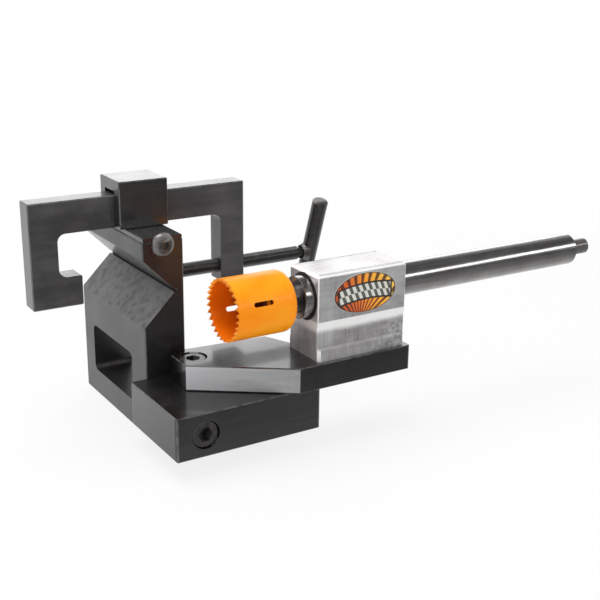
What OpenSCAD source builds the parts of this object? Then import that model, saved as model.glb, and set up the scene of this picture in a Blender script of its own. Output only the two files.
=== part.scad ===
// Tube notcher: a vee block and sliding clamp hold a tube, and a swing arm carries
// a hole saw on a shaft that runs in needle bearings across the tube's axis.
// Millimetres, +Z up. The shaft runs along X and the tube along Y.
// Every piece is drawn from the base plate's front left bottom corner; place() then
// moves the origin to the middle of the vee block's bottom rail.

/* [Base plate] */
// Base plate width, left to right
base_w = 115; // [100:0.1:140]
// Base plate depth, front to back
base_d = 76.2; // [70:0.1:90]
// Base plate thickness
base_t = 32.5; // [27:0.1:38]
// Radius of the base plate's upright corners
base_corner_r = 3; // [1:0.5:6]
// Bevel along the plates' level edges
edge_bevel = 0.8; // [0.3:0.1:1.5]

/* [Vee block] */
// Vee block's left face, measured in from the base plate's left side
vee_inset = 12.7; // [8:0.1:20]
// Vee block width, left to right
vee_w = 31.75; // [30:0.05:40]
// Vee block length along the tube
vee_l = 120.65; // [110:0.05:150]
// Vee block height above the base plate's underside
vee_top = 134.1; // [128:0.05:150]
// Depth of the vice rail below the base plate's underside
rail_drop = 15.125; // [10:0.005:25]
// Height of the tube and shaft axis above the base plate's underside
axis_z = 96; // [92:0.05:98]
// Depth of the right-angled vee
vee_depth = 25.4; // [18:0.1:26]
// Width of the relief slot along the bottom of the vee
vee_relief = 2.4; // [1:0.1:4]
// Length of the window through the vee block
window_l = 76.2; // [60:0.1:80]
// Height of the window
window_h = 38.1; // [30:0.1:40]
// Metal left in front of the window
window_front = 25.4; // [20:0.1:30]
// Metal left below the window
window_floor = 20.6; // [15:0.1:24]
// Radius of the window's corners
window_r = 5; // [2:0.5:8]

/* [Clamp bridge] */
// Bridge width across the vee block
bridge_w = 38.1; // [36:0.1:44]
// Thickness of each cheek of the bridge
cheek_t = 8.8; // [7:0.1:12]
// Bridge height above its foot
bridge_h = 34.9; // [32:0.1:44]
// Metal left above the bridge's slot
bridge_roof = 8; // [6:0.1:12]
// Bridge's front face behind the vee block's front face
bridge_y = 30; // [24:0.1:36]
// Thickness of the foot above the vee block
foot_t = 3.2; // [2.6:0.1:5]
// Foot's edge inside the vee block's edge, on each side
foot_inset = 0.8; // [0.4:0.1:2]
// Width of the tee slot's neck
neck_w = 12.7; // [11:0.1:14]
// Height of the tee slot's neck
neck_h = 4.5; // [4:0.1:5]
// Width of the tee slot's lower part
tee_slot_w = 19.05; // [17:0.05:20]
// Height of the tee slot's lower part
tee_slot_h = 4.5; // [4:0.1:5]
// Diameter of the screws that hold the bridge to its foot
bridge_screw_d = 3.5; // [3:0.1:4]

/* [Clamp frame] */
// Clamp frame length along its travel
frame_w = 170.6; // [150:0.1:190]
// Clamp frame height
frame_h = 78.2; // [72:0.1:90]
// Clamp frame thickness along the tube
frame_t = 16.5; // [12:0.1:19]
// Height of the frame's top bar
frame_bar = 23.8; // [18:0.1:26]
// Width of the frame's legs
leg_w = 20.4; // [16:0.1:25]
// Length of the jaw beyond the left leg
jaw_l = 17; // [12:0.1:22]
// Height of the jaw
jaw_h = 22.4; // [16:0.1:24]
// Gap between the jaw and the vee block's face in the pose shown
jaw_gap = 30; // [29:0.1:45]
// Radius of the frame's inner corners
frame_r = 6; // [3:0.5:8]

/* [Clamp screw] */
// Clamp screw diameter
screw_d = 11.11; // [9.5:0.01:14]
// Screw's axis below the tube's axis
screw_drop = 1.5; // [0:0.1:3]
// Length of the screw from its tip to the tee bar's axis
screw_l = 137.5; // [125:0.1:160]
// Tee bar diameter
tee_d = 12.7; // [8:0.1:13]
// Tee bar length
tee_l = 95.25; // [70:0.05:96]
// Lean of the tee bar towards the front, in degrees
tee_lean = 19; // [0:1:90]

/* [Swing arm] */
// Swing arm thickness
arm_t = 19.05; // [17:0.05:22]
// Pivot's place across the base plate
pivot_x = 39.7; // [36:0.1:44]
// Pivot's place in front of the base plate's rear face
pivot_back = 22.2; // [21:0.1:26]
// Length of the pivot bolt in the base plate
pivot_grip = 24; // [18:0.5:24]
// Width of the arm's straight part
arm_w = 47.6; // [44:0.1:56]
// Arm's right end beyond the bearing block
arm_lip = 3.7; // [1:0.1:8]
// Arm's straight part, left of the bearing block
arm_toe = 17; // [12:0.1:20]

/* [Bearing block] */
// Bearing block's left face from the base plate's left side
block_x = 111.1; // [108:0.1:120]
// Bearing block length along the shaft
block_l = 76.2; // [70:0.1:100]
// Bearing block width
block_w = 38.1; // [36:0.1:44]
// Bearing block height
block_h = 63.5; // [60:0.1:66]
// Depth of the shallow waist in the block's sides
waist = 1.4; // [0.5:0.1:2.5]
// How far the block's foot stands out from its sides
block_foot = 1.4; // [0.5:0.1:2]
// Bevel along the upper edges of the block's ends
end_bevel = 2; // [0.8:0.1:3]
// Needle bearing outer diameter
bearing_d = 31.75; // [30.5:0.05:33]
// Needle bearing length
bearing_l = 19.05; // [15:0.05:25]
// Needle rollers in each bearing
needles = 18; // [12:1:18]
// Shaft seal width
seal_l = 3.2; // [2:0.1:5]

/* [Shaft and saw] */
// Shaft diameter
shaft_d = 25.4; // [25.2:0.05:25.5]
// Shaft length behind its hub
shaft_l = 259.4; // [200:0.1:320]
// Diameter of the hub on the shaft's left end
hub_d = 31; // [28:0.5:33]
// Length of the hub
hub_l = 7.3; // [5:0.1:14]
// Drill shank diameter
shank_d = 12.7; // [9.5:0.05:13]
// Drill shank length
shank_l = 19.9; // [15:0.1:40]
// Hole saw diameter over the body
saw_d = 44.45; // [40:0.05:45]
// Hole saw length over the teeth
saw_l = 49.8; // [44:0.1:52]
// Hole saw wall thickness
saw_wall = 1.8; // [1.5:0.1:2.5]
// Hole saw back thickness
saw_back = 4; // [3:0.1:6]
// Radius of the rounded edge of the saw's back
saw_round = 6; // [2:0.5:8]
// Number of saw teeth
saw_teeth = 28; // [20:1:32]
// Depth of the gullets between the teeth
tooth_h = 2.6; // [1.8:0.1:3.5]
// Length of the slots in the saw's side
saw_slot_l = 15.6; // [8:0.1:18]
// Width of the slots
saw_slot_w = 3.4; // [2.5:0.1:5]
// Middle of the slots from the saw's back
saw_slot_x = 28; // [24:0.5:30]
// Length of the arbor's neck between the hub and the flange
neck_l = 6.1; // [3:0.1:12]
// Arbor neck diameter
neck_d = 22; // [18:0.5:26]
// Diameter of the flange behind the saw
flange_d = 28.4; // [26:0.1:32]
// Thickness of the flange
flange_t = 3; // [2:0.1:6]

/* [Hidden] */
// Clearances
run_gap = 0.05;      // radial, a pin or shaft that turns in its hole
thread_gap = 0.1;    // radial, screw in the frame's leg
slide_gap = 0.4;     // frame in the bridge's slot, each side
rest_gap = 0.2;      // frame above the foot
turn_gap = 0.1;      // swing arm above the base plate
tip_gap = 0.05;      // screw's tip to the vee block
stop_gap = 0.2;      // shaft's hub to the bearing block
head_gap = 0.8;      // screw head in its counterbore, all round

// Screw sizes: socket head 1/2 inch, button head 3/8 inch, socket head 5/16 inch
bolt_d = 12.7;
bolt_head_d = 19.05;
bolt_head_h = 12.7;
bolt_hex = 9.525;
button_d = 9.4;
button_head_d = 17.5;
button_head_h = 5.3;
button_hex = 5.55;
button_l = 25;
small_d = 7.9;
small_head_d = 11.9;
small_head_h = 7.9;
small_hex = 6.35;
dowel_d = 6.35;
dowel_l = 25.4;

// Places
vee_x0 = vee_inset;
vee_x1 = vee_inset + vee_w;
vee_mid = vee_inset + vee_w / 2;
vee_y0 = base_d;
vee_y1 = base_d + vee_l;
rail_z = -rail_drop;
ref = [vee_mid, base_d + vee_l / 2, rail_z];

foot_z1 = vee_top + foot_t;
slot_y0 = vee_y0 + bridge_y + cheek_t;
slot_w = frame_t + 2 * slide_gap;
bridge_d = 2 * cheek_t + slot_w;
bridge_y0 = vee_y0 + bridge_y;
bridge_y1 = bridge_y0 + bridge_d;
frame_y = slot_y0 + slide_gap;
frame_mid_y = frame_y + frame_t / 2;
frame_bar_z = foot_z1 + rest_gap;
frame_z1 = frame_bar_z + frame_bar;
frame_z0 = frame_z1 - frame_h;
jaw_x = vee_x0 - jaw_gap;
frame_x0 = jaw_x - jaw_l - leg_w;
frame_x1 = frame_x0 + frame_w;
screw_z = axis_z - screw_drop;
screw_x0 = vee_x1 + tip_gap;
tee_x = screw_x0 + screw_l;

shaft_y = block_w / 2;
arm_z0 = base_t + turn_gap;
arm_z1 = arm_z0 + arm_t;
arm_y0 = shaft_y - arm_w / 2;
arm_y1 = shaft_y + arm_w / 2;
arm_x1 = block_x + block_l + arm_lip;
block_x1 = block_x + block_l;
block_z1 = arm_z1 + block_h;
bore_r = bearing_d / 2;
shaft_r = shaft_d / 2;
shell_t = 0.8;
needle_gap = 0.03;
needle_r = (bore_r - shell_t - shaft_r) / 2 - needle_gap;
needle_pitch_r = (bore_r - shell_t + shaft_r) / 2;
hub_x1 = block_x - stop_gap;
hub_x0 = hub_x1 - hub_l;
shaft_x1 = hub_x1 + shaft_l;
flange_r = flange_d / 2;
neck_r = neck_d / 2;
stud_r = 7.9;
stud_in = 22;
stud_out = 3;
saw_x1 = hub_x0 - neck_l - flange_t;
saw_x0 = saw_x1 - saw_l;
saw_slot_turn = 110;
seal_r = 17.5;
keeper_z = foot_z1 - 5.95;
block_screw_dx = 12.7;
block_screw_dy = 10.5;
block_screw_up = 14;
bolt_inset = 9.5;
bolt_x = vee_x0 + bolt_inset;
bolt_z = base_t / 2;
bolt_grip = 22;
bolt_sink = 1;
drill_over = 1;
pivot_y = base_d - pivot_back;

// Piece to draw, or all of them

// ---- helpers -------------------------------------------------------------

module place() translate(-ref) children();

// Box with every edge bevelled by b
module bevel_box(x0, y0, z0, w, d, h, b) intersection() {
    along_y(y0, d) bevel_rect(x0, z0, w, h, b);
    along_x(x0, w) bevel_rect(y0, z0, d, h, b);
    translate([0, 0, z0]) linear_extrude(h) bevel_rect(x0, y0, w, d, b);
}

// Extrude an (x, z) outline along Y
module along_y(y0, l) translate([0, y0 + l, 0]) rotate([90, 0, 0]) linear_extrude(l) children();

// Extrude a (y, z) outline along X
module along_x(x0, l) translate([x0, 0, 0]) rotate([90, 0, 90]) linear_extrude(l) children();

module rod_x(x0, l, r, y, z) translate([x0, y, z]) rotate([0, 90, 0]) cylinder(h = l, r = r, $fn = 72);

module rod_y(y0, l, r, x, z) translate([x, y0, z]) rotate([-90, 0, 0]) cylinder(h = l, r = r, $fn = 72);

module rod_z(z0, l, r, x, y) translate([x, y, z0]) cylinder(h = l, r = r, $fn = 72);

// Ring along X
module ring_x(x0, l, r_out, r_in, y, z) difference() {
    rod_x(x0, l, r_out, y, z);
    rod_x(x0 - 1, l + 2, r_in, y, z);
}

// Flat material left in an inside corner of radius r
module corner_fill(r) difference() {
    square(r);
    translate([r, r]) circle(r, $fn = 48);
}

// Rectangle with rounded corners from true arcs
module round_rect(x0, y0, w, h, r) {
    translate([x0 + r, y0]) square([w - 2 * r, h]);
    translate([x0, y0 + r]) square([w, h - 2 * r]);
    for (x = [x0 + r, x0 + w - r])
        for (y = [y0 + r, y0 + h - r])
            translate([x, y]) circle(r, $fn = 48);
}

// Rectangle with bevelled corners
module bevel_rect(x0, y0, w, h, b) polygon([
    [x0 + b, y0], [x0 + w - b, y0], [x0 + w, y0 + b], [x0 + w, y0 + h - b],
    [x0 + w - b, y0 + h], [x0 + b, y0 + h], [x0, y0 + h - b], [x0, y0 + b]]);

// Socket head screw: head on the origin's +Z side, shank along -Z
module socket_screw(d, l, head_d, head_h, hex) difference() {
    union() {
        translate([0, 0, -l]) cylinder(h = l + 0.01, d = d, $fn = 48);
        cylinder(h = head_h - 0.8, d = head_d, $fn = 64);
        translate([0, 0, head_h - 0.8]) cylinder(h = 0.8, d1 = head_d, d2 = head_d - 1.6, $fn = 64);
    }
    translate([0, 0, head_h * 0.45]) cylinder(h = head_h, d = hex / cos(30), $fn = 6);
}

// ---- base ------------------------------------------------------------------

module base_plate() color([0.16, 0.16, 0.17]) place() difference() {
    intersection() {
        linear_extrude(base_t) round_rect(0, 0, base_w, base_d, base_corner_r);
        bevel_box(0, 0, 0, base_w, base_d, base_t, edge_bevel);
    }
    // counterbore and hole for the long screw into the vee block
    rod_y(-1, bolt_head_h + bolt_sink + 1, bolt_head_d / 2 + head_gap, bolt_x, bolt_z);
    rod_y(0, base_d + 1, bolt_d / 2, bolt_x, bolt_z);
    // dowel holes
    for (z = dowel_heights()) rod_y(base_d - dowel_l / 2, dowel_l, dowel_d / 2, dowel_x(), z);
    // tapped hole for the pivot bolt
    rod_z(base_t - pivot_grip - drill_over, pivot_grip + drill_over + 1, bolt_d / 2, pivot_x, pivot_y);
}

dowel_inset = 8;
function dowel_x() = vee_x1 - dowel_inset;
function dowel_heights() = [base_t * 0.25, base_t * 0.75];

module vee_block() color([0.2, 0.2, 0.21]) place() difference() {
    bevel_box(vee_x0, vee_y0, rail_z, vee_w, vee_l, vee_top - rail_z, edge_bevel);
    // right-angled vee on the tube's side, with a relief slot along its bottom
    along_y(vee_y0 - 1, vee_l + 2) {
        polygon([
            [vee_x0 - 1, axis_z - vee_depth - 1], [vee_x0 + vee_depth, axis_z],
            [vee_x0 - 1, axis_z + vee_depth + 1]]);
        translate([vee_x0 + vee_depth - vee_relief, axis_z - vee_relief / 2])
            square([vee_relief + 1, vee_relief]);
    }
    // window from side to side
    along_x(vee_x0 - 1, vee_w + 2)
        round_rect(vee_y0 + window_front, rail_z + window_floor, window_l, window_h, window_r);
    // tee slot for the bridge's foot, open to the front
    along_y(vee_y0 - 1, bridge_y1 - vee_y0 + 1) tee_outline(run_gap);
    // tapped hole for the long screw, and dowel holes
    rod_y(vee_y0 - 1, bolt_grip + drill_over + 1, bolt_d / 2, bolt_x, bolt_z);
    for (z = dowel_heights()) rod_y(vee_y0 - 1, dowel_l / 2 + 1, dowel_d / 2, dowel_x(), z);
}

// Outline of the foot's tee, and of its slot when grown by g
module tee_outline(g) {
    translate([vee_mid - neck_w / 2 - g, vee_top - neck_h - 0.5])
        square([neck_w + 2 * g, neck_h + 2]);
    translate([vee_mid - tee_slot_w / 2 - g, vee_top - neck_h - tee_slot_h - g])
        square([tee_slot_w + 2 * g, tee_slot_h + 2 * g]);
}

module base_screw() color([0.08, 0.08, 0.09]) place()
    translate([bolt_x, bolt_head_h + bolt_sink, bolt_z]) rotate([90, 0, 0])
        socket_screw(bolt_d, base_d - bolt_head_h - bolt_sink + bolt_grip, bolt_head_d, bolt_head_h,
            bolt_hex);

module locating_dowels() color([0.6, 0.6, 0.62]) place()
    for (z = dowel_heights()) rod_y(base_d - dowel_l / 2, dowel_l, dowel_d / 2, dowel_x(), z);

// ---- clamp bridge ----------------------------------------------------------

bridge_screw_dx = 12;
bridge_screw_up = 8;
bridge_screw_head_d = 6;
bridge_screw_head_h = 1.6;

module bridge_screw_places()
    for (x = [vee_mid - bridge_screw_dx, vee_mid + bridge_screw_dx])
        for (y = [bridge_y0 + cheek_t / 2, bridge_y1 - cheek_t / 2])
            translate([x, y, vee_top]) children();

module bridge_foot() color([0.18, 0.18, 0.19]) place() difference() {
    union() {
        along_y(vee_y0, bridge_y1 - vee_y0)
            polygon([
                [vee_x0 + foot_inset, vee_top], [vee_x1 - foot_inset, vee_top],
                [vee_x1 - foot_inset, foot_z1 - 0.5], [vee_x1 - foot_inset - 0.5, foot_z1],
                [vee_x0 + foot_inset + 0.5, foot_z1], [vee_x0 + foot_inset, foot_z1 - 0.5]]);
        along_y(vee_y0, bridge_y1 - vee_y0) intersection() {
            tee_outline(0);
            translate([vee_x0, vee_top - tee_slot_h - neck_h - 1])
                square([vee_w, tee_slot_h + neck_h + 1.01]);
        }
    }
    rod_y(vee_y0 - 1, button_l + 1, button_d / 2, vee_mid, keeper_z);
    bridge_screw_places() flat_screw_shape();
}

module flat_screw_shape() {
    cylinder(h = foot_t + bridge_screw_up, d = bridge_screw_d, $fn = 32);
    cylinder(h = bridge_screw_head_h, d1 = bridge_screw_head_d, d2 = bridge_screw_d, $fn = 32);
}

module bridge_screws() color([0.1, 0.1, 0.1]) place() bridge_screw_places() flat_screw_shape();

module clamp_bridge() color([0.2, 0.2, 0.21]) place() difference() {
    bevel_box(vee_mid - bridge_w / 2, bridge_y0, foot_z1, bridge_w, bridge_d, bridge_h, edge_bevel);
    // slot that the clamp frame slides in, open below
    along_x(vee_mid - bridge_w / 2 - 1, bridge_w + 2)
        translate([slot_y0, foot_z1 - 1]) square([slot_w, bridge_h - bridge_roof + 1]);
    bridge_screw_places() cylinder(h = foot_t + bridge_screw_up, d = bridge_screw_d, $fn = 32);
}

module keeper_screw() color([0.1, 0.1, 0.1]) place()
    translate([vee_mid, vee_y0, keeper_z]) rotate([90, 0, 0]) difference() {
        union() {
            translate([0, 0, -button_l]) cylinder(h = button_l + 0.01, d = button_d, $fn = 48);
            // domed head from a revolved arc
            rotate_extrude($fn = 72) polygon(concat([[0, 0]],
                [for (a = [0:10:70]) [
                    button_head_d / 2 * cos(a) , button_head_h * sin(a) / sin(70)]],
                [[0, button_head_h]]));
        }
        translate([0, 0, button_head_h * 0.35])
            cylinder(h = button_head_h, d = button_hex / cos(30), $fn = 6);
    }

// ---- sliding clamp -----------------------------------------------------------

module clamp_frame() color([0.22, 0.22, 0.23]) place() difference() {
    intersection() {
        along_y(frame_y, frame_t) {
            // top bar, two legs and the jaw
            bevel_rect(frame_x0, frame_z0, leg_w, frame_h, edge_bevel);
            bevel_rect(frame_x1 - leg_w, frame_z0, leg_w, frame_h, edge_bevel);
            bevel_rect(frame_x0, frame_bar_z, frame_w, frame_bar, edge_bevel);
            bevel_rect(frame_x0, frame_z0, leg_w + jaw_l, jaw_h, edge_bevel);
            // inner corners
            translate([frame_x0 + leg_w, frame_bar_z]) mirror([0, 1]) corner_fill(frame_r);
            translate([frame_x0 + leg_w, frame_z0 + jaw_h]) corner_fill(frame_r);
            translate([frame_x1 - leg_w, frame_bar_z]) rotate(180) corner_fill(frame_r);
        }
        bevel_box(frame_x0, frame_y, frame_z0, frame_w, frame_t, frame_h, edge_bevel);
    }
    // threaded hole for the clamp screw
    rod_x(frame_x1 - leg_w - 1, leg_w + 2, screw_d / 2 + thread_gap, frame_mid_y, screw_z);
}

module clamp_screw() color([0.05, 0.05, 0.05]) place() {
    l = screw_l - tee_d / 2 + 1.5;
    difference() {
        union() {
            rod_x(screw_x0 + 1.5, l - 1.5, screw_d / 2, frame_mid_y, screw_z);
            translate([screw_x0, frame_mid_y, screw_z]) rotate([0, 90, 0])
                cylinder(h = 1.5, r1 = screw_d / 2 - 1.5, r2 = screw_d / 2, $fn = 72);
        }
        // coped to sit round the tee bar
        tee_axis() cylinder(h = tee_l, d = tee_d, center = true, $fn = 72);
    }
}

module tee_axis() translate([tee_x, frame_mid_y, screw_z]) rotate([tee_lean, 0, 0]) children();

module tee_bar() color([0.15, 0.14, 0.13]) place() tee_axis() {
    b = 0.8;
    cylinder(h = tee_l - 2 * b, d = tee_d, center = true, $fn = 72);
    for (s = [-1, 1]) scale([1, 1, s]) translate([0, 0, tee_l / 2 - b])
        cylinder(h = b, d1 = tee_d, d2 = tee_d - 2 * b, $fn = 72);
}

// Weld fillet round the screw where it meets the tee bar
module tee_weld() color([0.2, 0.19, 0.18]) place() difference() {
    translate([tee_x - tee_d / 2 - 2.2, frame_mid_y, screw_z]) rotate([0, 90, 0])
        cylinder(h = 5, r1 = screw_d / 2 + 0.2, r2 = screw_d / 2 + 2.4, $fn = 72);
    rod_x(screw_x0, screw_l, screw_d / 2, frame_mid_y, screw_z);
    tee_axis() cylinder(h = tee_l, d = tee_d, center = true, $fn = 72);
}

// ---- swing arm ----------------------------------------------------------------

toe_x = block_x - arm_toe;
heel_x = pivot_x - 12.1;
heel_front = pivot_y - 12.8;
heel_rear = pivot_y + 10.5;
back_y = pivot_y + 18;
hip_x = toe_x + 12.3;
hip_y = pivot_y + 12;

// Corners of the arm seen from above, anticlockwise from the heel
arm_points = [
    [heel_x, heel_front], [toe_x, arm_y0], [arm_x1, arm_y0], [arm_x1, arm_y1],
    [block_x + 5.4, arm_y1], [hip_x, hip_y], [heel_x + 7.5, back_y], [heel_x, heel_rear]];

module arm_outline() {
    r = 3;
    difference() {
        polygon(arm_points);
        translate([arm_x1, arm_y0]) mirror([1, 0]) corner_fill(r);
        translate([arm_x1, arm_y1]) rotate(180) corner_fill(r);
    }
}

// Bevels along the upper and lower edges of an outline's sides, alternately b and a little less
module edge_bevels(points, z0, z1, full) for (i = [0:len(points) - 1]) {
    p = points[i];
    q = points[(i + 1) % len(points)];
    l = norm(q - p);
    b = full * (i % 2 == 0 ? 1 : 0.85);
    for (z = [z0, z1])
        translate([p[0], p[1], z]) rotate([0, 0, atan2(q[1] - p[1], q[0] - p[0])])
            translate([-1, 0, 0]) rotate([90, 0, 90]) linear_extrude(l + 2)
                rotate(45) square(b * sqrt(2), center = true);
}

block_screw_sink = 1;
block_screw_web = arm_t - small_head_h - block_screw_sink;

module block_screw_places()
    for (x = [block_x + block_screw_dx, block_x1 - block_screw_dx])
        for (y = [shaft_y - block_screw_dy, shaft_y + block_screw_dy])
            translate([x, y, arm_z1 - block_screw_web]) children();

bush_t = 1.6;
bush_r = bolt_d / 2 + bush_t;
pivot_sink = 0.8;
pivot_head_z = arm_z1 - pivot_sink - bolt_head_h;
web_z = pivot_head_z - turn_gap;

module pivot_bolt() color([0.1, 0.1, 0.1]) place()
    translate([pivot_x, pivot_y, pivot_head_z])
        socket_screw(bolt_d, pivot_head_z - base_t + pivot_grip, bolt_head_d, bolt_head_h, bolt_hex);

module pivot_bush() color([0.7, 0.55, 0.3]) place() difference() {
    rod_z(arm_z0, web_z - arm_z0, bush_r, pivot_x, pivot_y);
    rod_z(arm_z0 - 1, arm_t, bolt_d / 2 + run_gap, pivot_x, pivot_y);
}

module swing_arm() color([0.18, 0.18, 0.19]) place() difference() {
    translate([0, 0, arm_z0]) linear_extrude(arm_t) arm_outline();
    edge_bevels(arm_points, arm_z0, arm_z1, edge_bevel);
    rod_z(arm_z0 - 1, arm_t + 2, bush_r, pivot_x, pivot_y);
    rod_z(web_z, arm_t, bolt_head_d / 2 + head_gap, pivot_x, pivot_y);
    block_screw_places() {
        translate([0, 0, -small_head_h - 2]) cylinder(h = small_head_h + 2, d = small_head_d + head_gap, $fn = 48);
        cylinder(h = arm_t, d = small_d, $fn = 48);
    }
}

// ---- bearing block ----------------------------------------------------------------

// (y, z) section of the block: flat upper part, shallow waist and a stepped foot
module block_section() {
    z0 = arm_z1;
    z1 = block_z1;
    foot_h = 9.6;
    web_h = 23.2;
    lip_h = 29.7;
    r = 2.6;
    difference() {
        polygon([
            [-block_foot, z0], [-block_foot, z0 + foot_h - 1.2], [waist, z0 + foot_h], [waist, z0 + web_h],
            [0, z0 + lip_h], [0, z1], [block_w, z1], [block_w, z0 + lip_h],
            [block_w - waist, z0 + web_h], [block_w - waist, z0 + foot_h],
            [block_w + block_foot, z0 + foot_h - 1.2], [block_w + block_foot, z0]]);
        translate([0, z1]) mirror([0, 1]) corner_fill(r);
        translate([block_w, z1]) rotate(180) corner_fill(r);
        // thin groove along each upper edge
        for (y = [r + 0.8, block_w - r - 0.8]) translate([y, z1]) circle(0.7, $fn = 24);
    }
}

module bearing_block() color([0.75, 0.75, 0.77]) place() difference() {
    intersection() {
        along_x(block_x, block_l) block_section();
        // bevelled ends
        translate([0, 0, arm_z1]) linear_extrude(block_h) bevel_rect(
            block_x, -block_foot, block_l, block_w + 2 * block_foot, block_foot + edge_bevel * 0.9);
        along_y(-block_foot - 1, block_w + 2 * block_foot + 2) polygon([
            [block_x, arm_z1], [block_x1, arm_z1], [block_x1, block_z1 - end_bevel],
            [block_x1 - end_bevel, block_z1], [block_x + end_bevel, block_z1],
            [block_x, block_z1 - end_bevel]]);
    }
    // seats of the seals and the bearings, and the bore between them
    rod_x(block_x - 1, seal_l + 1, seal_r, shaft_y, axis_z);
    rod_x(block_x1 - seal_l, seal_l + 1, seal_r, shaft_y, axis_z);
    rod_x(block_x + seal_l, bearing_l, bore_r, shaft_y, axis_z);
    rod_x(block_x1 - seal_l - bearing_l, bearing_l, bore_r, shaft_y, axis_z);
    rod_x(block_x, block_l, bore_r - 1.4, shaft_y, axis_z);
    block_screw_places() cylinder(h = block_screw_web + block_screw_up, d = small_d, $fn = 48);
}

module block_screws() color([0.1, 0.1, 0.1]) place() block_screw_places() mirror([0, 0, 1])
    socket_screw(small_d, block_screw_web + block_screw_up - drill_over, small_head_d, small_head_h,
        small_hex);

// Drawn cup with turned-in lips
module bearing_shell(x0) place() {
    lip = 0.8;
    difference() {
        rod_x(x0, bearing_l, bore_r, shaft_y, axis_z);
        rod_x(x0 + lip, bearing_l - 2 * lip, bore_r - shell_t, shaft_y, axis_z);
        rod_x(x0 - 1, bearing_l + 2, needle_pitch_r, shaft_y, axis_z);
    }
}

module front_bearing_shell() color([0.7, 0.7, 0.68]) bearing_shell(block_x + seal_l);

module rear_bearing_shell() color([0.7, 0.7, 0.68]) bearing_shell(block_x1 - seal_l - bearing_l);

module front_seal() color([0.04, 0.04, 0.04]) place()
    ring_x(block_x, seal_l, seal_r, shaft_r + run_gap, shaft_y, axis_z);

module rear_seal() color([0.04, 0.04, 0.04]) place()
    ring_x(block_x1 - seal_l, seal_l, seal_r, shaft_r + run_gap, shaft_y, axis_z);

cage_l = bearing_l - 3;

module bearing_starts()
    for (x = [block_x + seal_l, block_x1 - seal_l - bearing_l])
        translate([x + 1.5, shaft_y, axis_z]) rotate([0, 90, 0]) children();

module needle_cages() color([0.6, 0.55, 0.4]) place() bearing_starts() difference() {
    cylinder(h = cage_l, r = needle_pitch_r + 0.45, $fn = 72);
    translate([0, 0, -1]) cylinder(h = cage_l + 2, r = needle_pitch_r - 0.45, $fn = 72);
    for (i = [0:needles - 1]) rotate(i * 360 / needles)
        translate([needle_pitch_r - 2, -needle_r - 0.1, 1.4]) cube([4, 2 * needle_r + 0.2, cage_l - 2.8]);
}

module needle_rollers() color([0.8, 0.8, 0.82]) place() bearing_starts()
    for (i = [0:needles - 1]) rotate(i * 360 / needles)
        translate([needle_pitch_r, 0, 1.6]) cylinder(h = cage_l - 3.2, r = needle_r, $fn = 24);

// ---- shaft and saw ----------------------------------------------------------------

module feed_shaft() color([0.8, 0.8, 0.82]) place() difference() {
    translate([hub_x1, shaft_y, axis_z]) rotate([0, 90, 0]) rotate_extrude($fn = 96) polygon([
        [0, -hub_l], [hub_d / 2 - 0.6, -hub_l], [hub_d / 2, -hub_l + 0.6], [hub_d / 2, -0.6],
        [hub_d / 2 - 0.6, 0], [shaft_r, 0], [shaft_r, shaft_l - 1.6], [shaft_r - 1.6, shaft_l],
        [shank_d / 2, shaft_l], [shank_d / 2, shaft_l + shank_l - 1], [shank_d / 2 - 1, shaft_l + shank_l],
        [0, shaft_l + shank_l]]);
    // tapped hole for the saw's arbor
    rod_x(hub_x0 - 1, stud_in + 3, stud_r, shaft_y, axis_z);
}

// Arbor: a stud in the shaft, a neck, a flange for the saw's back and a threaded nose
module saw_arbor() color([0.06, 0.06, 0.06]) place()
    translate([hub_x0, shaft_y, axis_z]) rotate([0, -90, 0]) rotate_extrude($fn = 96) polygon([
        [0, -stud_in], [stud_r - 0.8, -stud_in], [stud_r, 0.8 - stud_in], [stud_r, 0], [neck_r, 0], [neck_r, neck_l],
        [flange_r - 0.6, neck_l], [flange_r, neck_l + 0.6], [flange_r, neck_l + flange_t],
        [stud_r, neck_l + flange_t], [stud_r, neck_l + flange_t + saw_back + stud_out - 0.8],
        [stud_r - 0.8, neck_l + flange_t + saw_back + stud_out], [0, neck_l + flange_t + saw_back + stud_out]]);

module hole_saw() color([1, 0.5, 0.05]) place()
    translate([saw_x1, shaft_y, axis_z]) rotate([0, -90, 0]) difference() {
        ro = saw_d / 2;
        ri = ro - saw_wall;
        // cup with a rounded shoulder
        rotate_extrude($fn = 96) polygon(concat(
            [[stud_r, 0]],
            [for (a = [-90:10:0]) [ro - saw_round + saw_round * cos(a), saw_round + saw_round * sin(a)]],
            [[ro, saw_l], [ri, saw_l], [ri, saw_back + 2], [ri - 2, saw_back], [stud_r, saw_back]]));
        // gullets between the teeth
        for (i = [0:saw_teeth - 1]) rotate(i * 360 / saw_teeth)
            translate([ro - saw_wall / 2, 0, saw_l]) rotate([90, 0, 90])
                linear_extrude(saw_wall * 3, center = true) gullet(PI * saw_d / saw_teeth);
        // two slots for prising out the slug
        for (s = [0, 1]) rotate(s * 180 + saw_slot_turn) translate([ro - 5, 0, saw_slot_x])
            rotate([0, 90, 0]) linear_extrude(10)
                round_rect(-saw_slot_l / 2, -saw_slot_w / 2, saw_slot_l, saw_slot_w, saw_slot_w / 2 - 0.05);
    }

// Gullet outline for a tooth pitch p, its mouth on y = 0 and its sides drawn on past it
module gullet(p) polygon([
    [-p * 0.508, tooth_h * 0.2], [-p * 0.30, -tooth_h * 0.9], [-p * 0.16, -tooth_h],
    [p * 0.06, -tooth_h * 0.72], [p * 0.584, tooth_h * 0.2]]);

// ---- what to draw -------------------------------------------------------------------

base_plate();
vee_block();
base_screw();
locating_dowels();
bridge_foot();
clamp_bridge();
bridge_screws();
keeper_screw();
pivot_bolt();
clamp_frame();
clamp_screw();
tee_bar();
tee_weld();
swing_arm();
pivot_bush();
bearing_block();
block_screws();
front_bearing_shell();
rear_bearing_shell();
front_seal();
rear_seal();
needle_cages();
needle_rollers();
feed_shaft();
saw_arbor();
hole_saw();
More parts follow.
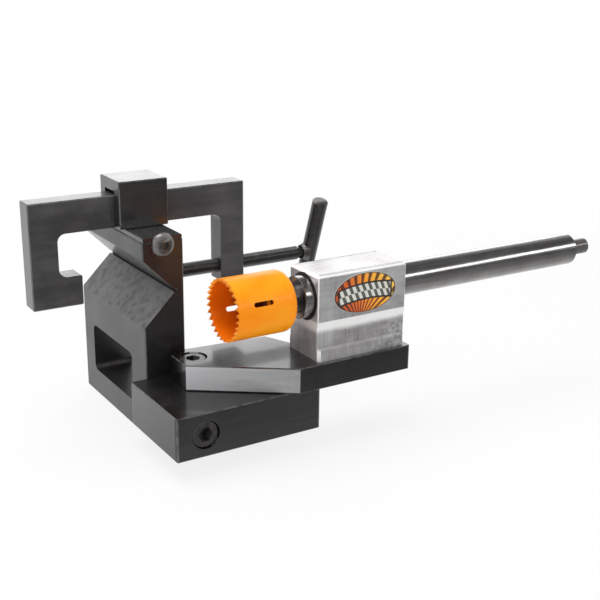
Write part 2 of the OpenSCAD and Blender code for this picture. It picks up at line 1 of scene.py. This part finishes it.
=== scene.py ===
import math
import bpy, bmesh
from mathutils import Matrix, Vector


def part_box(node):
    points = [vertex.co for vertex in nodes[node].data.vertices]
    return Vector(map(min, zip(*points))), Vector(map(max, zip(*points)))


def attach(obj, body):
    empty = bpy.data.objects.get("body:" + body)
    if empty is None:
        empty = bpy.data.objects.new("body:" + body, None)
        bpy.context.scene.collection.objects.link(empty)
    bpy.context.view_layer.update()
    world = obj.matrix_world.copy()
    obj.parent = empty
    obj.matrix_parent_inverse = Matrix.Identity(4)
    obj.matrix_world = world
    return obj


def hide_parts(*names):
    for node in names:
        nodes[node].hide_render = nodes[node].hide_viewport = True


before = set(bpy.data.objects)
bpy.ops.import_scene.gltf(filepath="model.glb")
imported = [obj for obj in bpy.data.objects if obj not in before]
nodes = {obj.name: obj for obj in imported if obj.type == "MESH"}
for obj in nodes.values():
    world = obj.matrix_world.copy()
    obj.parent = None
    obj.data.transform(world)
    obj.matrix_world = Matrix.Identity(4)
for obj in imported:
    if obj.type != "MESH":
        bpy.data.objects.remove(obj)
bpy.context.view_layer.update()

# ---- Camera and studio -------------------------------------------------------------------
# The camera stands to the left of the notcher and a little above it, as in the photograph.
# Soft lamps stand overhead, behind and at the left, with a narrow one at the front right.
camera_data = bpy.data.cameras.new("camera")
camera_data.sensor_width = 36
camera_data.lens = 63.97
camera = bpy.data.objects.new("camera", camera_data)
camera.location = (-0.304529, -0.727804, 0.345910)
camera.rotation_euler = [math.radians(a) for a in (71.780, -0.706, -31.934)]
bpy.context.collection.objects.link(camera)
bpy.context.scene.camera = camera
bpy.context.scene.view_settings.view_transform = "Standard"


def softbox(name, place, target, width, depth, watts):
    light = bpy.data.lights.new(name, "AREA")
    light.shape = "RECTANGLE"
    light.size = width
    light.size_y = depth
    light.energy = watts
    lamp = bpy.data.objects.new(name, light)
    lamp.location = place
    lamp.rotation_euler = (Vector(target) - Vector(place)).to_track_quat("-Z", "Y").to_euler()
    lamp.visible_camera = False
    bpy.context.collection.objects.link(lamp)


softbox("overhead_softbox", (-0.2, 0.15, 1.35), (0.1, 0, 0.1), 1.0, 0.9, 13)
softbox("rear_softbox", (0.95, 1.5, 0.75), (0.1, 0, 0.1), 1.8, 0.9, 7)
softbox("left_softbox", (-1.35, 0.1, 0.5), (0, 0, 0.1), 0.8, 0.7, 4.5)
softbox("front_strip", (0.72, -0.94, 0.56), (0.14, -0.11, 0.11), 1.5, 0.17, 2.9)


class Wire:
    """A node's output, on which Python's operators add Math nodes."""

    def __init__(self, nodes_of, socket):
        self.nodes_of, self.socket = nodes_of, socket

    def of(self, name):
        return Wire(self.nodes_of, self.socket.node.outputs[name])

    def math(self, operation, first, second=0.0):
        return self.nodes_of.add("ShaderNodeMath", {"operation": operation}, {0: first, 1: second})

    def __add__(self, other):
        return self.math("ADD", self, other)

    def __sub__(self, other):
        return self.math("SUBTRACT", self, other)

    def __mul__(self, other):
        return self.math("MULTIPLY", self, other)

    def __truediv__(self, other):
        return self.math("DIVIDE", self, other)

    def __rsub__(self, other):
        return self.math("SUBTRACT", other, self)

    __radd__, __rmul__ = __add__, __mul__

    def __abs__(self):
        return self.math("ABSOLUTE", self)

    def most(self, other):
        return self.math("MAXIMUM", self, other)


class NodeTree:
    """A node tree that is built from Python values and wires."""

    def __init__(self, tree):
        self.tree = tree

    def add(self, kind, settings, sockets, out=0):
        node = self.tree.nodes.new(kind)
        for key, value in settings.items():
            if key == "stops":
                ramp = node.color_ramp
                while len(ramp.elements) < len(value):
                    ramp.elements.new(0.5)
                for element, (at, colour) in zip(ramp.elements, value):
                    element.position = at
                    element.color = (*colour, 1)
            else:
                setattr(node, key, value)
        for key, value in sockets.items():
            if isinstance(value, Wire):
                self.tree.links.new(value.socket, node.inputs[key])
            else:
                node.inputs[key].default_value = value
        return Wire(self, node.outputs[out]) if node.outputs else None

    def split(self, vector):
        """The X, Y and Z parts of a vector."""
        parts = self.add("ShaderNodeSeparateXYZ", {}, {"Vector": vector})
        return parts, parts.of("Y"), parts.of("Z")

    def ramp(self, value, low, high, start=0.0, end=1.0):
        """Start to end as the value goes from low to high, with soft ends."""
        return self.add("ShaderNodeMapRange", {"interpolation_type": "SMOOTHSTEP"}, {
            "Value": value, "From Min": low, "From Max": high, "To Min": start, "To Max": end})

    def mix(self, factor, first, second):
        first, second = [(*c, 1) if isinstance(c, tuple) else c for c in (first, second)]
        return self.add("ShaderNodeMix", {"data_type": "RGBA"}, {0: factor, 6: first, 7: second}, 2)

    def blend(self, factor, first, second):
        return self.add("ShaderNodeMixShader", {}, {0: factor, 1: first, 2: second})


class Finish(NodeTree):
    """A material's nodes: numbers and colours given here are set on the shader itself."""

    def __init__(self, name, **constants):
        self.material = bpy.data.materials.new(name)
        self.material.use_nodes = True
        super().__init__(self.material.node_tree)
        self.shader = self.tree.nodes["Principled BSDF"]
        for key, value in constants.items():
            self.shader.inputs[key.replace("_", " ")].default_value = value
        self.place = self.add("ShaderNodeTexCoord", {}, {}).of("Object")

    def noise(self, scale, detail=3.0, stretch=(1, 1, 1), shift=(0, 0, 0), rough=0.55):
        """Noise from 0 to 1 with its scale in cycles per metre, stretched along the axes."""
        spot = self.add("ShaderNodeMapping", {}, {
            "Vector": self.place, "Scale": stretch, "Location": shift})
        return self.add("ShaderNodeTexNoise", {}, {
            "Vector": spot, "Scale": scale, "Detail": detail, "Roughness": rough})

    def bump(self, height, distance, strength=1.0):
        self.set(Normal=self.add("ShaderNodeBump", {}, {
            "Height": height, "Distance": distance, "Strength": strength}))

    def set(self, **wires):
        for key, wire in wires.items():
            self.tree.links.new(wire.socket, self.shader.inputs[key.replace("_", " ")])

    def colour(self):
        """What feeds the base colour so far."""
        return Wire(self, self.shader.inputs["Base Color"].links[0].from_socket)

    def facing(self):
        """The X, Y and Z parts of the surface's direction."""
        return self.split(self.add("ShaderNodeTexCoord", {}, {}).of("Normal"))

    def bevels(self):
        """1 on slanted faces, such as the narrow bevels, and 0 on faces square to the axes."""
        x, y, z = self.facing()
        return self.ramp(abs(x).most(abs(y)).most(abs(z)), 0.97, 0.8)

    def on(self, *names):
        for name in names:
            slots = nodes[name].data.materials
            slots.clear()
            slots.append(self.material)


# A pale floor runs under the vice rail. Metal sees it white behind the notcher and darker
# in front, where the room is dim; away from the shadow the camera sees it plain white.
floor_gap = 0.0002
middle_x = 0.1
floor_mesh = bpy.data.meshes.new("floor")
floor_form = bmesh.new()
bmesh.ops.create_grid(floor_form, x_segments=1, y_segments=1, size=6)
bmesh.ops.translate(floor_form, verts=floor_form.verts, vec=(0, 0, -floor_gap))
floor_form.to_mesh(floor_mesh)
floor_form.free()
floor = bpy.data.objects.new("floor", floor_mesh)
bpy.context.collection.objects.link(floor)
floor_finish = Finish("pale_floor", Base_Color=(0.8, 0.8, 0.8, 1), Roughness=0.9)
floor_x, floor_y, _ = floor_finish.split(floor_finish.place)
floor_ray = floor_finish.add("ShaderNodeLightPath", {}, {})
away_squared = (floor_x - middle_x) * (floor_x - middle_x) + floor_y * floor_y
floor_plain = floor_finish.ramp(away_squared, 0.3 ** 2, 0.8 ** 2, 0.82, 1.0)
floor_seen = floor_finish.add("ShaderNodeEmission", {}, {"Strength": 1.0})
floor_shine = floor_finish.add("ShaderNodeEmission", {}, {
    "Strength": floor_finish.ramp(floor_y, -0.34, 0.1, 0.13, 1.0)})
floor_mix = floor_finish.blend(floor_ray.of("Is Glossy Ray") * 0.9,
                               Wire(floor_finish, floor_finish.shader.outputs[0]), floor_shine)
floor_mix = floor_finish.blend(floor_ray * floor_plain, floor_mix, floor_seen)
floor_finish.tree.links.new(floor_mix.socket, floor_finish.tree.nodes["Material Output"].inputs[0])
floor_mesh.materials.append(floor_finish.material)

# The world is nearly even for matt surfaces. Metal sees it white behind, up to a third of
# the way to the top, and dim overhead and on the camera's side.
world = bpy.data.worlds.new("studio")
world.use_nodes = True
bpy.context.scene.world = world
world.node_tree.nodes.clear()
room = NodeTree(world.node_tree)
room_ray = room.add("ShaderNodeLightPath", {}, {})
_, room_y, room_z = room.split(room.add("ShaderNodeTexCoord", {}, {}).of("Generated"))
room_back = room.ramp(room_y, -0.1, 0.3) * room.ramp(room_z, 0.78, 0.42)
room_even = room.add("ShaderNodeBackground", {}, {
    "Strength": room.ramp(room_y, 0.2, -0.6, 0.56, 0.86)})
room_shine = room.add("ShaderNodeBackground", {}, {"Strength": room_back * 0.86 + 0.14})
room_seen = room.add("ShaderNodeBackground", {}, {"Strength": 1.0, "Color": (1, 1, 1, 1)})
room_mix = room.blend(room_ray.of("Is Glossy Ray"), room_even, room_shine)
room_mix = room.blend(room_ray, room_mix, room_seen)
room.add("ShaderNodeOutputWorld", {}, {0: room_mix})


# ---- Base plate --------------------------------------------------------------------------
# A block of cold-drawn steel bar, sawn and faced, then blacked and oiled, so it is nearly
# black face on and mirrors what stands on it at a low angle. Its edges are lighter: rubbed to metal in
# patches, and painted with a highlight along the bevels.
def blacked_steel(name, grain, tint=(1.0, 0.94, 0.96), rough=0.2, coat=0.5, tone=1.0,
                  specks=0.35):
    """Blacked steel whose grain runs along the axis with the smallest stretch."""
    finish = Finish(name, Metallic=0.0, Coat_Weight=coat, Coat_Roughness=0.07, Specular_IOR_Level=0.7)
    cloud = finish.noise(26, 5, shift=(3, 1, 2), rough=0.6)
    streak = finish.noise(1.0, 5, stretch=grain, rough=0.7)
    speck = finish.noise(1100, 2, shift=(5, 2, 7))
    dark, pale = [tuple(level * tone * c for c in tint) for level in (0.007, 0.02)]
    base = finish.mix(finish.ramp(cloud * 0.45 + streak * 0.55, 0.36, 0.68), dark, pale)
    base = finish.mix(finish.ramp(speck, 0.66, 0.76, 0.0, specks), base, (0.09, 0.085, 0.083))
    scrape = finish.noise(7, 6, stretch=(9, 9, 9), shift=(8, 4, 1), rough=0.8)
    scuff = finish.ramp(scrape, 0.6, 0.7, 0.0, 0.3)
    base = finish.mix(scuff * finish.ramp(streak, 0.45, 0.6), base, (0.06, 0.057, 0.056))
    edge_patchiness = finish.noise(160, 3, shift=(1, 4, 9))
    # Bevels painted lighter: rubbed to metal in patches, and a painted highlight along the edges.
    rubbed_and_lit_edges = finish.bevels() * finish.ramp(edge_patchiness, 0.3, 0.62, 0.3, 1.0)
    base = finish.mix(rubbed_and_lit_edges * 0.7, base, (0.15, 0.145, 0.142))
    finish.set(Base_Color=base,
               Roughness=finish.ramp(cloud, 0.3, 0.75, rough, rough + 0.12) + streak * 0.06)
    finish.bump(streak * 0.6 + speck * 0.4, 0.00005, 0.3)
    return finish


blacked_steel("base_black", (14, 700, 700), rough=0.14, coat=0.4).on("base_plate")


# ---- Vee block ---------------------------------------------------------------------------
# A length of thick flat bar with a right-angled vee and a window milled through it; its
# lower edge hangs below the base plate as a rail for the vice. Blacked like the base.
blacked_steel("vee_black", (700, 5, 700), rough=0.3, coat=0.2).on("vee_block")


# ---- Screw into the vee block, and dowels ------------------------------------------------
# A socket head cap screw runs through the base plate into the vee block; two hardened
# ground dowels beside it keep the two square.
def blacked_screw(name, tone=1.0, rough=0.26, wear_and_edge_sheen=0.4):
    """Blacked and oiled steel; the last argument sets how much bare metal shows in specks, and how
    light the bevels are painted, as rubbed metal and a painted highlight.
    """
    finish = Finish(name, Metallic=0.2, Coat_Weight=0.4, Coat_Roughness=0.12)
    cloud = finish.noise(220, 4)
    speck = finish.noise(2600, 2, shift=(2, 8, 3))
    dark, pale = [tuple(tone * c for c in shade)
                  for shade in ((0.014, 0.0125, 0.012), (0.045, 0.041, 0.039))]
    base = finish.mix(finish.ramp(cloud, 0.35, 0.7), dark, pale)
    base = finish.mix(finish.ramp(speck, 0.62, 0.72, 0.0, wear_and_edge_sheen), base, (0.17, 0.16, 0.152))
    # Bevels painted lighter: rubbed metal and a painted highlight along the edges.
    base = finish.mix(finish.bevels() * wear_and_edge_sheen, base, (0.3, 0.29, 0.28))
    finish.set(Base_Color=base, Roughness=finish.ramp(cloud, 0.3, 0.7, rough, rough + 0.15))
    finish.bump(speck * 0.6 + cloud * 0.4, 0.00005, 0.4)
    return finish


blacked_screw("screw_black").on("base_screw")


def bright_steel(name, grey=0.55, rough=0.16, along=(10, 900, 900)):
    """Ground or polished steel with its fine marks along the axis of least stretch."""
    finish = Finish(name, Metallic=1.0)
    streak = finish.noise(1.0, 6, stretch=along, rough=0.75)
    cloud = finish.noise(60, 4, shift=(4, 2, 6))
    dark, pale = [tuple(grey * c for c in shade) for shade in ((0.78, 0.75, 0.74), (1.1, 1.08, 1.06))]
    base = finish.mix(finish.ramp(streak * 0.6 + cloud * 0.4, 0.35, 0.68), dark, pale)
    finish.set(Base_Color=base, Roughness=finish.ramp(streak, 0.3, 0.7, rough, rough + 0.14))
    finish.bump(streak, 0.00004, 0.3)
    return finish


bright_steel("dowel_steel", along=(900, 10, 900)).on("locating_dowels")


# ---- Clamp bridge and its foot -----------------------------------------------------------
# The bridge is a block slotted for the clamp frame. It stands on a foot whose tee slides
# into the top of the vee block; four countersunk screws join them from below.
blacked_steel("foot_black", (500, 12, 500), rough=0.18, coat=0.4).on("bridge_foot")
blacked_steel("bridge_black", (14, 600, 600), rough=0.22, tone=1.2).on("clamp_bridge")
blacked_screw("bridge_screw_black").on("bridge_screws")

# A button head screw in the foot's front end bears on the vee block and keeps the foot in.
blacked_screw("keeper_grey", tone=2.6, rough=0.2, wear_and_edge_sheen=0.5).on("keeper_screw")


# ---- Clamp frame -------------------------------------------------------------------------
# A C-shaped frame cut from thick plate, with mill scale left on under the blacking. Its
# left leg ends in the jaw that closes towards the vee.
mill_scale = blacked_steel("frame_black", (9, 500, 60), tint=(1.0, 0.95, 1.02), rough=0.3,
                           tone=4.4, specks=0.4)
mill_scale.on("clamp_frame")


# ---- Clamp screw -------------------------------------------------------------------------
# A length of 7/16 inch threaded rod, blacked and oiled, through the frame's right leg.
# Its plain tip bears on the vee block.
(rod_start, rod_front, rod_under), (rod_end, rod_back, rod_top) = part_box("clamp_screw")
rod_y, rod_z = (rod_front + rod_back) / 2, (rod_under + rod_top) / 2
rod_r = (rod_top - rod_under) / 2
pitch = 0.0018143
crest_r, root_r = rod_r - 0.00002, rod_r - 0.0009
plain_tip, plain_end = 0.004, 0.006
tip_chamfer, tip_r = 0.0012, rod_r - 0.0015
core_r, sunk_r = root_r + 0.00004, root_r - 0.00008


def add_piece(name, form, body, finish, smooth=True, replaces=()):
    """Makes the form an object that rides on a body and stands for the CAD nodes it replaces."""
    bmesh.ops.recalc_face_normals(form, faces=form.faces)
    mesh = bpy.data.meshes.new(name)
    form.to_mesh(mesh)
    form.free()
    for face in mesh.polygons:
        face.use_smooth = smooth
    mesh.materials.append(finish.material)
    piece = bpy.data.objects.new(name, mesh)
    bpy.context.collection.objects.link(piece)
    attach(piece, body)
    if replaces:
        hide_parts(*replaces)
    return piece


def turned(profile, steps=64):
    """A form spun round the X axis from (x, radius) points; ends on the axis close it."""
    form = bmesh.new()
    points = [form.verts.new((x, 0, r)) for x, r in profile]
    for a, b in zip(points, points[1:]):
        form.edges.new((a, b))
    bmesh.ops.spin(form, geom=form.verts[:] + form.edges[:], cent=(0, 0, 0), axis=(1, 0, 0),
                   dvec=(0, 0, 0), angle=math.tau, steps=steps, use_merge=True)
    bmesh.ops.remove_doubles(form, verts=form.verts, dist=1e-7)
    return form


thread_start, thread_end = rod_start + plain_tip, rod_end - plain_end
steps_per_turn = 28
turns = int((thread_end - thread_start) / pitch)
thread = bmesh.new()
rise = [(0.0, root_r), (0.42, crest_r), (0.58, crest_r), (1.0, root_r)]
ridge = [thread.verts.new((thread_start + at * pitch, 0, r)) for at, r in rise]
for a, b in zip(ridge, ridge[1:]):
    thread.edges.new((a, b))
bmesh.ops.spin(thread, geom=thread.verts[:] + thread.edges[:], cent=(0, 0, 0), axis=(1, 0, 0),
               dvec=(pitch / steps_per_turn, 0, 0), angle=math.tau * (turns - 1),
               steps=steps_per_turn * (turns - 1), use_merge=False)
bmesh.ops.remove_doubles(thread, verts=thread.verts, dist=1e-6)
fade = 0.002
for vert in thread.verts:
    r = math.hypot(vert.co.y, vert.co.z)
    near = min(vert.co.x - thread_start, thread_end - vert.co.x)
    part = max(0.0, min(1.0, near / fade))
    wanted = sunk_r + (r - sunk_r) * part
    vert.co.y *= wanted / r
    vert.co.z *= wanted / r
core = turned([(rod_start, 0), (rod_start, tip_r), (rod_start + tip_chamfer, core_r),
               (rod_end, core_r), (rod_end, 0)])
core_mesh = bpy.data.meshes.new("core")
core.to_mesh(core_mesh)
core.free()
thread.from_mesh(core_mesh)
bpy.data.meshes.remove(core_mesh)
bmesh.ops.translate(thread, verts=thread.verts, vec=(0, rod_y, rod_z))
rod_black = blacked_screw("rod_black", tone=0.45, rough=0.14, wear_and_edge_sheen=0.15)
add_piece("threaded_rod", thread, "screw", rod_black, replaces=["clamp_screw"])


# ---- Tee bar and weld --------------------------------------------------------------------
# A short round bar welded across the end of the rod, left as rolled and blacked by the heat.
tee = blacked_screw("tee_black", tone=0.45, rough=0.3, wear_and_edge_sheen=0.15)
tee_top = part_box("tee_bar")[1][2]
tee_end = tee.ramp(tee.split(tee.place)[2], tee_top - 0.003, tee_top - 0.0015)
tee.set(Base_Color=tee.mix(tee_end, tee.colour(), (0.24, 0.225, 0.215)))
tee.on("tee_bar")
weld = blacked_screw("weld_black", tone=1.2, rough=0.22)
ripple = weld.add("ShaderNodeTexWave", {"bands_direction": "Z"}, {
    "Vector": weld.place, "Scale": 160.0, "Distortion": 3.0, "Detail": 2.0})
weld.bump(ripple, 0.0003, 0.8)
weld.on("tee_weld")


# ---- Swing arm ---------------------------------------------------------------------------
# The arm is sawn from thick plate and turns on a shouldered bolt at its left end. Its
# slanted front face is ground bright after the blacking. The bearing block is screwed to
# it from below, and a sintered bronze bush lines its bore.
arm = blacked_steel("arm_black", (14, 500, 700), rough=0.16, coat=0.4, tone=0.55)
side_x, side_y, _ = arm.facing()
ground_face = arm.ramp(side_x * -0.5 + side_y * -0.866, 0.93, 0.97)
ground_marks = arm.noise(1.0, 5, stretch=(40, 40, 500))
ground_fade = arm.ramp(arm.split(arm.place)[0] + ground_marks * 0.03, 0.0, 0.09)
ground_tone = arm.mix(ground_fade, (0.62, 0.625, 0.645), (0.3, 0.3, 0.305))
ground_patch = ground_face * arm.ramp(arm.noise(60, 5), 0.2, 0.45, 0.75, 1.0)
arm.set(Base_Color=arm.mix(ground_patch, arm.colour(), ground_tone))
arm.on("swing_arm")
blacked_screw("pivot_black").on("pivot_bolt")
bronze = Finish("bush_bronze", Metallic=1.0)
bronze_cloud = bronze.noise(300, 4)
bronze.set(Base_Color=bronze.mix(bronze_cloud, (0.42, 0.27, 0.11), (0.72, 0.52, 0.26)),
           Roughness=bronze.ramp(bronze_cloud, 0.3, 0.7, 0.3, 0.5))
bronze.bump(bronze_cloud, 0.00003, 0.4)
bronze.on("pivot_bush")


# ---- Bearing block -----------------------------------------------------------------------
# A sawn length of extruded aluminium bar with a shallow waist down each side, left as it
# came off the mill, with scratches and small dents. A light band on the slope above the waist is a
# painted highlight, standing for the floor's reflection.
aluminium = Finish("mill_aluminium", Specular_IOR_Level=0.5)
scratch = aluminium.noise(1.0, 4, stretch=(520, 520, 16), rough=0.75)
smudge = aluminium.noise(34, 5, shift=(2, 3, 8), rough=0.65)
dent = aluminium.noise(300, 3, shift=(6, 1, 1))
along = aluminium.noise(1.0, 4, stretch=(6, 500, 700), rough=0.7)
bar_x, _, bar_z = aluminium.split(aluminium.place)
worn_end = aluminium.ramp(bar_x + smudge * 0.05, 0.135, 0.175)
metal = aluminium.mix(aluminium.ramp(smudge * 0.6 + along * 0.2 + scratch * 0.2, 0.38, 0.64),
                      (0.42, 0.4, 0.405), (0.68, 0.675, 0.68))
metal = aluminium.mix(aluminium.ramp(scratch, 0.6, 0.7, 0.0, 0.45), metal, (0.8, 0.8, 0.81))
metal = aluminium.mix(aluminium.ramp(scratch, 0.42, 0.34, 0.0, 0.4), metal, (0.22, 0.21, 0.21))
waist_top = 0.0964
worn_patch = worn_end * aluminium.ramp(bar_z, waist_top, waist_top - 0.004)
metal = aluminium.mix(worn_patch * aluminium.ramp(dent, 0.46, 0.6, 0.0, 0.6), metal, (0.24, 0.22, 0.22))
metal = aluminium.mix(aluminium.ramp(dent, 0.7, 0.76, 0.0, 0.5), metal, (0.28, 0.26, 0.26))
below = waist_top - bar_z
# Painted highlight: a near-white, less metallic band on the slope just above the waist, where the
# floor's reflection falls.
painted_highlight_band = aluminium.ramp(below, 0.0, 0.0008) * aluminium.ramp(below + smudge * 0.004, 0.0125, 0.007)
metal = aluminium.mix(painted_highlight_band * 0.85, metal, (0.97, 0.97, 0.96))
# Bevels are painted near white and made less metallic: a painted highlight along the edges.
metal = aluminium.mix(aluminium.bevels(), metal, (0.95, 0.95, 0.95))
aluminium.set(Base_Color=metal, Metallic=0.55 - aluminium.bevels().most(painted_highlight_band) * 0.5,
              Roughness=aluminium.ramp(smudge * 0.6 + scratch * 0.4, 0.35, 0.65, 0.27, 0.42))
aluminium.bump(scratch * 0.6 + dent * 0.4, 0.00007, 0.4)
aluminium.on("bearing_block")
blacked_screw("block_screw_black").on("block_screws")

# Oval plate on the block's front: thin sheet, printed with warm rays and a chequered band
# between dark outlines, and stuck on.
badge_x, badge_z, badge_y = 0.12243, 0.11295, -0.136525
badge_half, badge_tall, badge_thick = 0.0272, 0.0150, 0.0004
badge = bmesh.new()
bmesh.ops.create_circle(badge, cap_ends=True, segments=96, radius=1.0)
bmesh.ops.scale(badge, verts=badge.verts, vec=(badge_half, badge_tall, 1))
lifted = bmesh.ops.extrude_face_region(badge, geom=badge.faces[:])
lifted_verts = [v for v in lifted["geom"] if isinstance(v, bmesh.types.BMVert)]
bmesh.ops.translate(badge, verts=lifted_verts, vec=(0, 0, badge_thick))
rim = [e for e in badge.edges if all(v.co.z > badge_thick / 2 for v in e.verts)]
bmesh.ops.bevel(badge, geom=rim, offset=0.0002, affect="EDGES", segments=2, profile=0.5, material=-1)
upright = Matrix.Rotation(math.radians(90), 3, "X")
bmesh.ops.rotate(badge, verts=badge.verts, cent=(0, 0, 0), matrix=upright)
bmesh.ops.translate(badge, verts=badge.verts, vec=(badge_x, badge_y, badge_z))
print_finish = Finish("printed_plate", Coat_Weight=0.6, Coat_Roughness=0.1, Roughness=0.35)
plate_x, _, plate_z = print_finish.split(print_finish.place)
u, v = (plate_x - badge_x) / badge_half, (plate_z - badge_z) / badge_tall
reach = u * u + v * v
blush = u * 0.4 + 0.52 + v * 0.1 + print_finish.noise(90, 3) * 0.16 - 0.08
warm = print_finish.add("ShaderNodeValToRGB", {"stops": [
    (0.0, (0.3, 0.03, 0.008)), (0.35, (0.75, 0.13, 0.01)), (0.65, (1.0, 0.4, 0.02)),
    (1.0, (1.0, 0.72, 0.12))]}, {0: blush})
turn = v.math("ARCTAN2", v + 1.5, u * 1.8 + 0.3)
ray = turn.math("PINGPONG", turn * 5.6 + 20.0, 0.5)
rays = print_finish.ramp(ray + reach * 0.12, 0.33, 0.38)
plate_colour = print_finish.mix(rays * 0.9, warm, (0.07, 0.012, 0.008))
arch = v + u * u * 0.22 - 0.08 - u * 0.05
band = print_finish.ramp(abs(arch), 0.36, 0.33) * print_finish.ramp(abs(u), 0.82, 0.8)
rim_band = print_finish.ramp(abs(arch), 0.45, 0.42) * print_finish.ramp(abs(u), 0.87, 0.85)
columns = u.math("PINGPONG", u * 5.0 + arch * 1.2 + 20.0, 0.5)
check = abs(print_finish.ramp(columns, 0.23, 0.27) - print_finish.ramp(arch, -0.02, 0.02))
chequer = print_finish.mix(check * 0.9, (0.72, 0.72, 0.66), (0.04, 0.04, 0.03))
plate_colour = print_finish.mix(rim_band, plate_colour, (0.03, 0.02, 0.018))
plate_colour = print_finish.mix(band, plate_colour, chequer)
plate_colour = print_finish.mix(print_finish.ramp(reach, 0.88, 0.91), plate_colour, (0.05, 0.035, 0.03))
plate_colour = print_finish.mix(print_finish.ramp(reach, 0.95, 0.97), plate_colour, (0.55, 0.54, 0.5))
fleck = print_finish.noise(700, 3)
flecks = print_finish.ramp(fleck, 0.62, 0.75, 0.0, 0.3)
plate_colour = print_finish.mix(flecks, plate_colour, (0.3, 0.2, 0.12))
print_finish.set(Base_Color=plate_colour, Roughness=print_finish.ramp(fleck, 0.3, 0.7, 0.28, 0.45))
print_finish.bump(fleck, 0.00003, 0.4)
add_piece("name_plate", badge, "arm", print_finish, smooth=False)


# ---- Bearings and seals ------------------------------------------------------------------
# Two drawn-cup needle bearings are pressed into the block, each behind a rubber seal whose
# edge shows as a dark ring round the shaft.
bright_steel("shell_steel", grey=0.5, rough=0.2).on("front_bearing_shell", "rear_bearing_shell")
rubber = Finish("seal_rubber", Specular_IOR_Level=0.4)
rubber_grain = rubber.noise(1500, 3)
rubber.set(Base_Color=rubber.mix(rubber_grain, (0.012, 0.012, 0.012), (0.04, 0.039, 0.038)),
           Roughness=rubber.ramp(rubber_grain, 0.3, 0.7, 0.45, 0.65))
rubber.bump(rubber_grain, 0.00005, 0.5)
rubber.on("front_seal", "rear_seal")
bright_steel("cage_steel", grey=0.4, rough=0.3).on("needle_cages")
bright_steel("needle_steel", grey=0.65, rough=0.12).on("needle_rollers")


# ---- Feed shaft --------------------------------------------------------------------------
# A hardened ground shaft with a hub turned on its left end and a drill shank on its right.
# It slides and turns in the needle bearings; the shank is left duller than the rest.
shaft = bright_steel("shaft_steel", grey=0.52, rough=0.13, along=(9, 700, 700))
shank_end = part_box("feed_shaft")[1][0]
shank = shaft.ramp(shaft.split(shaft.place)[0], shank_end - 0.0194, shank_end - 0.019)
shaft.set(Base_Color=shaft.mix(shank * 0.85, shaft.colour(), (0.11, 0.104, 0.1)),
          Metallic=1 - shank * 0.5)
shaft.on("feed_shaft")


# ---- Saw arbor ---------------------------------------------------------------------------
# The blacked arbor screws into the shaft's hub; its flange backs the saw and its threaded
# nose holds it.
blacked_screw("arbor_black", tone=0.6, rough=0.25).on("saw_arbor")


# ---- Hole saw ----------------------------------------------------------------------------
# A bi-metal hole saw: a drawn cup with teeth cut in its rim and two slots through its wall.
# It is enamelled orange; within, it is painted redder for the light that bounces inside the cup, and
# painted shade darkens it towards the closed end.
enamel = Finish("orange_enamel", Specular_IOR_Level=0.15, Coat_Weight=0.1, Coat_Roughness=0.15)
wash = enamel.noise(48, 3)
chip = enamel.noise(900, 3, shift=(3, 3, 5))
saw_x, saw_y, saw_z = enamel.split(enamel.place)
saw_low, saw_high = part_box("hole_saw")
orange = enamel.mix(enamel.ramp(wash, 0.35, 0.65), (1.0, 0.285, 0.003), (1.0, 0.345, 0.008))
orange = enamel.mix(enamel.ramp(chip, 0.72, 0.78, 0.0, 0.5), orange, (0.5, 0.14, 0.03))
_, face_y, face_z = enamel.facing()
axis_y, axis_z = (saw_low[1] + saw_high[1]) / 2, (saw_low[2] + saw_high[2]) / 2
inside = enamel.ramp((saw_y - axis_y) * face_y + (saw_z - axis_z) * face_z, -0.004, -0.012)
# Painted reflected light: the inner wall is painted a redder orange for the light the cup bounces onto
# itself.
orange = enamel.mix(inside, orange, (1.0, 0.2, 0.004))
# Painted shade: the inner wall darkens to near black towards the closed end, where little light
# reaches.
deep_painted_shade = inside * enamel.ramp(saw_x - saw_low[0], 0.016, 0.03, 0.0, 0.93)
orange = enamel.mix(deep_painted_shade, orange, (0.05, 0.012, 0.006))
teeth = enamel.ramp(saw_x - saw_low[0] + chip * 0.0016, 0.0034, 0.0016)
orange = enamel.mix(teeth * 0.45, orange, (0.5, 0.16, 0.04))
enamel.set(Base_Color=orange, Roughness=enamel.ramp(wash, 0.3, 0.7, 0.3, 0.42))
enamel.bump(enamel.noise(260, 3, shift=(1, 1, 1)), 0.00005, 0.35)
enamel.on("hole_saw")
